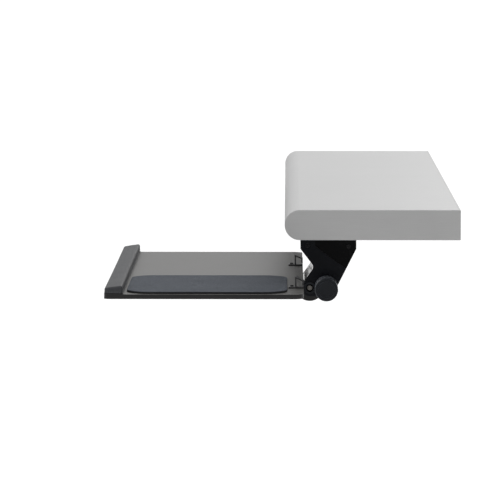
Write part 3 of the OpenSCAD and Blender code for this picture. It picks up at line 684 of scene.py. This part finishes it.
def makeKnob():
    low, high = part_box("knob_body")
    size = {"flutes": 24, "fluteDepth": 0.7 * mm, "fluteFrom": 4 * mm, "fade": 2.5 * mm, "face": 1.8 * mm,
            "bore": 5 * mm, "hubRadius": 10 * mm, "hub": 4 * mm, "seatDepth": 2 * mm, "seatEdge": 0.3 * mm,
            "shoulder": 1.2 * mm, "fadeSteps": 6, "stepsPerFlute": 8}
    radius, length = (high.x - low.x) / 2, high.y - low.y
    capRadius = (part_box("knob_cap")[1].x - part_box("knob_cap")[0].x) / 2
    gripEnd = length - size["hub"]
    face, shoulder = size["face"], size["shoulder"]
    seat, edge, steps = size["seatDepth"], size["seatEdge"], size["fadeSteps"]
    profile = [(size["bore"], seat, 0), (capRadius, seat, 0), (capRadius, edge, 0), (capRadius + edge, 0, 0)]
    profile += [(x, y, 0) for x, y in turned(-90, 0, (radius - face, face), face, 8)]
    for i in range(steps + 1):
        share = 0.5 - 0.5 * math.cos(math.pi * i / steps)
        profile.append((radius, size["fluteFrom"] + size["fade"] * i / steps, share))
    for i in range(steps + 1):
        share = 0.5 + 0.5 * math.cos(math.pi * i / steps)
        profile.append((radius, gripEnd - shoulder - size["fade"] * (1 - i / steps), share))
    profile += [(x, y, 0) for x, y in turned(0, 90, (radius - shoulder, gripEnd - shoulder), shoulder, 5)]
    profile += [(size["hubRadius"], gripEnd, 0), (size["hubRadius"], length, 0), (size["bore"], length, 0)]
    profile += [profile[0]]
    centre = Vector(((low.x + high.x) / 2, low.y, (low.z + high.z) / 2))
    finish = finishes[slotOf["knob_body"]]
    sizes = {"Flute depth": size["fluteDepth"], "Flutes": size["flutes"],
             "Steps round": size["flutes"] * size["stepsPerFlute"]}
    place("knobGrip", spun("knobGrip", profile, centre, finish, sizes), "knob_body")


def makeKnobCap():
    low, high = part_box("knob_cap")
    size = {"dish": 0.6 * mm, "ring": 0.25 * mm, "ringAt": 0.86, "ringWidth": 0.1, "lip": 0.4 * mm,
            "gap": 0.15 * mm, "dishSteps": 12, "stepsRound": 96}
    radius, depth = (high.x - low.x) / 2 - size["gap"], high.y - low.y
    profile = [(0, size["dish"])]
    for i in range(1, size["dishSteps"]):
        share = i / size["dishSteps"] * size["ringAt"]
        profile.append((radius * share, size["dish"] * (1 - share ** 2)))
    ringMiddle = radius * (size["ringAt"] + size["ringWidth"] / 2)
    profile += [(ringMiddle - 0.5 * mm, size["ring"]), (ringMiddle, size["ring"] * 0.4)]
    profile += turned(-90, 0, (radius - size["lip"], size["lip"]), size["lip"], 5)
    profile += [(radius, depth), (0, depth)]
    centre = Vector(((low.x + high.x) / 2, low.y, (low.z + high.z) / 2))
    sizes = {"Flute depth": 0.0, "Flutes": 1, "Steps round": size["stepsRound"]}
    place("knobCap", spun("knobCap", profile, centre, finishes[slotOf["knob_cap"]], sizes), "knob_cap")


makeKnob()
makeKnobCap()
print("knob made")


# cross-head screws

def screwRecipe():
    # one screw at each given point: a domed head below the point and a shank above it
    labels = ["Head radius", "Head height", "Shank radius", "Shank length", "Recess length", "Recess width"]
    r = Recipe("crossHeadScrews", labels + ["Recess depth"])
    ball = r.node("GeometryNodeMeshUVSphere", {}, {"Segments": 32, "Rings": 16, "Radius": 1.0})
    x, y, z = r.split(r.position())
    headRadius, headHeight = r.given("Head radius"), r.given("Head height")
    spot = r.joined(x * headRadius, y * headRadius, z.atMost(0) * headHeight)
    dome = r.node("GeometryNodeSetPosition", {}, {"Geometry": ball, "Position": spot})
    head = r.node("GeometryNodeMergeByDistance", {}, {"Geometry": dome, "Distance": 1e-6})
    long, thin, deep = r.given("Recess length"), r.given("Recess width"), r.given("Recess depth") * 2
    bars = [r.node("GeometryNodeMeshCube", {}, {"Size": r.joined(a, b, deep)})
            for a, b in ((long, thin), (thin, long))]
    low = r.joined(0.0, 0.0, 0 - headHeight)
    cutters = [r.node("GeometryNodeTransform", {}, {"Geometry": bar, "Translation": low}) for bar in bars]
    values = {"Mesh 1": head, "Mesh 2": cutters}
    slotted = r.node("GeometryNodeMeshBoolean", {"operation": "DIFFERENCE"}, values)
    length = r.given("Shank length")
    values = {"Vertices": 20, "Radius": r.given("Shank radius"), "Depth": length}
    rod = r.node("GeometryNodeMeshCylinder", {}, values)
    middle = r.joined(0.0, 0.0, length / 2)
    shank = r.node("GeometryNodeTransform", {}, {"Geometry": rod, "Translation": middle})
    screw = r.node("GeometryNodeJoinGeometry", {}, [[slotted, shank]])
    values = {"Points": r.given("Geometry"), "Instance": screw}
    return r.close(r.node("GeometryNodeInstanceOnPoints", {}, values))


screws = screwRecipe()


def makeScrews(name, node, headRadius, headHeight, shankRadius):
    # four screws whose heads lie in the corners of the node's box
    recess = {"width": 0.9 * mm, "depthShare": 0.6}
    low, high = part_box(node)
    baseZ = low.z + headHeight
    corners = [(x, y, baseZ) for x in (low.x + headRadius, high.x - headRadius)
               for y in (low.y + headRadius, high.y - headRadius)]
    points = bpy.data.meshes.new(name)
    points.from_pydata(corners, [], [])
    sizes = {"Head radius": headRadius, "Head height": headHeight, "Shank radius": shankRadius,
             "Shank length": high.z - baseZ, "Recess length": headRadius, "Recess width": recess["width"],
             "Recess depth": headHeight * recess["depthShare"]}
    place(name, closed(screws.run(points, finishes[slotOf[node]], sizes)), node)


makeScrews("mountingScrews", "mounting_screws", headRadius=4.6 * mm, headHeight=2.8 * mm,
           shankRadius=2.25 * mm)
makeScrews("bracketScrews", "bracket_screws", headRadius=4.2 * mm, headHeight=2.4 * mm, shankRadius=2.2 * mm)
print("screws made")


# palm rest

def spread(points, count):
    # the same closed line with this many points, evenly spaced
    ring = points + [points[0]]
    lengths = [math.dist(a, b) for a, b in zip(ring, ring[1:])]
    step = sum(lengths) / count
    made, index, gone = [], 0, 0.0
    for i in range(count):
        while i * step > gone + lengths[index]:
            gone += lengths[index]
            index += 1
        share = (i * step - gone) / lengths[index]
        a, b = ring[index], ring[index + 1]
        made.append((a[0] + (b[0] - a[0]) * share, a[1] + (b[1] - a[1]) * share))
    return made


palm = {
    "frontHeight": 7.4 * mm, "inset": 0.5 * mm, "endRound": 2.6 * mm, "cornerRound": 8 * mm,
    "edgeRound": 2.2 * mm, "crown": 0.6 * mm, "stationGap": 5 * mm, "endSteps": 6, "ringPoints": 36,
    "heldBelow": 0.3 * mm, "pressure": 4.0, "frames": 20, "swell": 1.1 * mm,
}


def palmSection(low, high, fromEnd):
    # the rest's outline across the tray, at this distance from its nearer end
    endRound, corner, edge = palm["endRound"], palm["cornerRound"], palm["edgeRound"]
    shrink = 0.0
    if fromEnd < endRound:
        shrink = endRound - math.sqrt(endRound ** 2 - (endRound - fromEnd) ** 2)
    cut = shrink
    if fromEnd < corner:
        cut = max(shrink, corner - math.sqrt(corner ** 2 - (corner - fromEnd) ** 2))
    front, back = low.x + palm["inset"] + cut, high.x - palm["inset"] - shrink
    frontTop = low.z + palm["frontHeight"] - palm["inset"] - shrink
    backTop = high.z - palm["inset"] - shrink
    slope = math.degrees(math.atan2(backTop - frontTop, back - front))
    outline = [(front, low.z)]
    outline += turned(180, 90 + slope, (front + edge, frontTop - edge * 0.8), edge, 5)
    middle = ((front + back) / 2, (frontTop + backTop) / 2 + palm["crown"])
    outline += [middle]
    outline += turned(90 + slope, 0, (back - edge, backTop - edge), edge, 5)
    outline += [(back, low.z)]
    return spread(outline, palm["ringPoints"])


def palmMesh(low, high):
    # rings across the tray from end to end, closed at each end by smaller rings
    endSteps = palm["endSteps"]
    ends = [palm["endRound"] * (1 - math.cos(math.pi / 2 * i / endSteps)) for i in range(endSteps + 1)]
    ends += [palm["cornerRound"] * share for share in (0.5, 0.75, 1.0)]
    span = high.y - low.y
    inner = span - 2 * ends[-1]
    count = round(inner / palm["stationGap"])
    stations = ends + [ends[-1] + inner * i / count for i in range(1, count)]
    stations += [span - d for d in reversed(ends)]
    shape = bmesh.new()
    rings = []
    for station in stations:
        section = palmSection(low, high, min(station, span - station))
        rings.append([shape.verts.new((x, low.y + station, z)) for x, z in section])
    for first, last in zip(rings, rings[1:]):
        bridge(shape, first, last)
    for ring in (rings[0], rings[-1]):
        middle = sum((vertex.co for vertex in ring), Vector()) / len(ring)
        outer = ring
        for share in (0.7, 0.4):
            smaller = [shape.verts.new(middle + (vertex.co - middle) * share) for vertex in ring]
            bridge(shape, outer, smaller)
            outer = smaller
        tip = shape.verts.new(middle)
        for a, b in zip(outer, outer[1:] + outer[:1]):
            shape.faces.new((a, b, tip))
    bmesh.ops.recalc_face_normals(shape, faces=shape.faces)
    return meshFrom("palmRest", shape)


def bridge(shape, first, last):
    count = len(first)
    for i in range(count):
        j = (i + 1) % count
        shape.faces.new((first[i], first[j], last[j], last[i]))


def puffed(mesh, floorZ):
    # the cover under air pressure, held along its underside; how far it swells is then set by the palm sizes
    holder = bpy.data.objects.new("palmHolder", mesh.copy())
    bpy.context.scene.collection.objects.link(holder)
    held = [vertex.index for vertex in mesh.vertices if vertex.co.z < floorZ + palm["heldBelow"]]
    holder.vertex_groups.new(name="held").add(held, 1.0, "REPLACE")
    cloth = holder.modifiers.new("Cloth", "CLOTH")
    cloth.settings.vertex_group_mass = "held"
    cloth.settings.use_pressure = True
    cloth.settings.uniform_pressure_force = palm["pressure"]
    cloth.settings.effector_weights.gravity = 0.0
    cloth.collision_settings.use_collision = False
    cloth.point_cache.frame_start, cloth.point_cache.frame_end = 1, palm["frames"]
    for frameNumber in range(1, palm["frames"] + 1):
        bpy.context.scene.frame_set(frameNumber)
    result = settled(holder)
    bpy.context.scene.frame_set(1)
    moves = [after.co - before.co for after, before in zip(result.vertices, mesh.vertices)]
    furthest = max(move.length for move in moves)
    share = min(1.0, palm["swell"] / furthest)
    print("palm cover moved up to", round(furthest / mm, 2), "mm, kept to", round(furthest * share / mm, 2))
    for vertex, move in zip(mesh.vertices, moves):
        vertex.co += move * share
        vertex.co.z = max(vertex.co.z, floorZ)
    return mesh


def makePalmRest():
    low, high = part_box("palm_rest_foam")
    mesh = palmMesh(low, high)
    mesh = puffed(mesh, low.z)
    mesh = withModifier(mesh, "SUBSURF", levels=1, render_levels=1)
    smooth(mesh, 60)
    piece = place("palmRest", mesh, "palm_rest_foam")
    return piece


def stitchRecipe():
    # a short rounded stitch at equal steps along a line
    r = Recipe("stitchedRow", ["Pitch", "Stitch length", "Thread width"])
    line = r.node("GeometryNodeMeshToCurve", {}, [r.given("Geometry")])
    values = {"Curve": line, "Length": r.given("Pitch")}
    points = r.node("GeometryNodeCurveToPoints", {"mode": "LENGTH"}, values)
    rotation = Signal(r, points.socket.node.outputs["Rotation"])
    bead = r.node("GeometryNodeMeshUVSphere", {}, {"Segments": 6, "Rings": 5, "Radius": 0.5})
    width = r.given("Thread width")
    scale = r.joined(width, width, r.given("Stitch length"))
    values = {"Points": points, "Instance": bead, "Rotation": rotation, "Scale": scale}
    return r.close(r.node("GeometryNodeInstanceOnPoints", {}, values))


def roundedOutline(low, high, cornerRadii, steps=8):
    # points and outward directions round a rectangle with its own radius at low x and at high x
    lowRound, highRound = cornerRadii
    corners = [(high.x - highRound, high.y - highRound, highRound, 0),
               (low.x + lowRound, high.y - lowRound, lowRound, 90),
               (low.x + lowRound, low.y + lowRound, lowRound, 180),
               (high.x - highRound, low.y + highRound, highRound, 270)]
    found = []
    for x, y, radius, start in corners:
        for i in range(steps + 1):
            angle = math.radians(start + 90 * i / steps)
            out = Vector((math.cos(angle), math.sin(angle), 0))
            found.append((Vector((x, y, 0)) + out * radius, out))
    return found


def makeStitches(rest):
    # a row low on the cover, all the way round; each point of its line lies just proud of the cover
    size = {"height": 1.5 * mm, "pitch": 3.4 * mm, "length": 2.4 * mm, "width": 0.5 * mm,
            "proud": 0.08 * mm, "reach": 10 * mm, "lineGap": 4 * mm, "backRound": 1 * mm}
    low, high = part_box("palm_rest_foam")
    tree = BVHTree.FromPolygons([v.co for v in rest.data.vertices], [p.vertices for p in rest.data.polygons])
    outline = roundedOutline(low, high, (palm["cornerRound"], size["backRound"]))
    line = []
    for (a, outA), (b, outB) in zip(outline, outline[1:] + outline[:1]):
        count = max(1, round((b - a).length / size["lineGap"]))
        for i in range(count):
            point, out = a.lerp(b, i / count), outA.lerp(outB, i / count).normalized()
            start = point + out * size["reach"]
            start.z = low.z + size["height"]
            hit, normal = tree.ray_cast(start, -out)[:2]
            if hit:
                line.append(hit + normal * size["proud"])
    mesh = bpy.data.meshes.new("palmStitches")
    mesh.from_pydata(line, [(i, (i + 1) % len(line)) for i in range(len(line))], [])
    sizes = {"Pitch": size["pitch"], "Stitch length": size["length"], "Thread width": size["width"]}
    stitches = closed(stitchRecipe().run(mesh, thread, sizes), 180)
    place("palmStitches", stitches, "palm_rest_foam", finish=thread, replaces=False)


makeStitches(makePalmRest())
print("palm rest made")


# mouse pad

def makePadCloth():
    # knitted cloth bonded to the rubber, its cut edge rolled down
    low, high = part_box("mouse_pad_cloth")
    size = {"corner": 34 * mm, "cornerSteps": 14,
            "rows": [(0.0, 0.0), (0.0, 0.5), (0.12 * mm, 0.8), (0.4 * mm, 0.96), (1.1 * mm, 1.0)]}
    thick = high.z - low.z
    outline = roundedOutline(low, high, (size["corner"], size["corner"]), size["cornerSteps"])
    shape = bmesh.new()
    rings = []
    for inwards, share in size["rows"]:
        z = low.z + thick * share
        rings.append([shape.verts.new((*(point - out * inwards).xy, z)) for point, out in outline])
    for first, last in zip(rings, rings[1:]):
        bridge(shape, first, last)
    shape.faces.new(rings[0])
    shape.faces.new(rings[-1])
    mesh = closed(meshFrom("padCloth", shape), 50)
    piece = place("padCloth", mesh, "mouse_pad_cloth")


makePadCloth()
print("mouse pad made")


# floor, light and camera

def makeStage():
    size = {"half": 120.0, "drop": 0.70, "paint": 0.9, "rough": 0.9, "gloss": 0.1}
    z, half = cadLow.z - size["drop"], size["half"]
    mesh = bpy.data.meshes.new("floor")
    corners = [(-half, -half, z), (half, -half, z), (half, half, z), (-half, half, z)]
    mesh.from_pydata(corners, [], [(0, 1, 2, 3)])
    floor = bpy.data.objects.new("floor", mesh)
    bpy.context.scene.collection.objects.link(floor)
    finish = Finish("floorPaint").done(Base_Color=colour(size["paint"]), Roughness=size["rough"],
                                       Specular_IOR_Level=size["gloss"])
    mesh.materials.append(finish)


def makeSky():
    # a white studio: brightest overhead, lit behind the desk, and dim on the side that faces the desk's end
    glow = {"everywhere": 0.10, "overhead": 1.40, "behind": 0.8}
    world = bpy.data.worlds.new("studio")
    world.use_nodes = True
    sky = Graph(world.node_tree)
    sky.tree.nodes.clear()
    y, z = sky.split(sky.node("ShaderNodeTexCoord", out="Generated"))[1:]
    strength = z.atLeast(0) * glow["overhead"] + y.atLeast(0) * glow["behind"] + glow["everywhere"]
    lit = sky.node("ShaderNodeBackground", {}, {"Color": colour(1.0), "Strength": strength})
    white = sky.node("ShaderNodeBackground", {}, {"Color": colour(1.0)})
    seen = sky.node("ShaderNodeLightPath", out="Is Camera Ray")
    surface = sky.node("ShaderNodeMixShader", {}, [seen, lit, white])
    sky.node("ShaderNodeOutputWorld", {}, {"Surface": surface})
    bpy.context.scene.world = world


def makeLight(name, toLight, size, power):
    # a square lamp this far from the middle of the object, and aimed at it
    aim = (cadLow + cadHigh) / 2
    at = aim + Vector(toLight)
    lamp = bpy.data.lights.new(name, "AREA")
    lamp.energy, lamp.size = power, size
    holder = bpy.data.objects.new(name, lamp)
    holder.location = at
    holder.rotation_euler = (aim - at).to_track_quat("-Z", "Y").to_euler()
    bpy.context.scene.collection.objects.link(holder)


def makeCamera():
    # a long lens at the right-hand end of the desk, a little above it
    shot = {"distance": 5.0, "eyeHeight": 0.475, "frameWidth": 0.653, "aimX": -0.065, "aimHeight": 0.009,
            "besideEdge": 0.004, "sensor": 36.0, "farthest": 400}
    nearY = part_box("tray_board")[0].y
    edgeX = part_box("desk_laminate")[0].x + shot["besideEdge"]
    eye = Vector((edgeX, nearY - shot["distance"], shot["eyeHeight"]))
    aim = Vector((edgeX + shot["aimX"], nearY, shot["aimHeight"]))
    lens = bpy.data.cameras.new("camera")
    lens.sensor_width = shot["sensor"]
    lens.lens = lens.sensor_width * shot["distance"] / shot["frameWidth"]
    lens.clip_end = shot["farthest"]
    camera = bpy.data.objects.new("camera", lens)
    camera.location = eye
    camera.rotation_euler = (aim - eye).to_track_quat("-Z", "Y").to_euler()
    bpy.context.scene.collection.objects.link(camera)
    bpy.context.scene.camera = camera


makeStage()
makeSky()
makeLight("keyLight", toLight=(-1.6, -1.8, 2.0), size=1.6, power=16)
makeLight("backLight", toLight=(1.2, 2.6, 1.6), size=1.8, power=26)
makeCamera()
bpy.context.scene.view_settings.view_transform = "Standard"
print("stage ready")

bpy.context.view_layer.update()
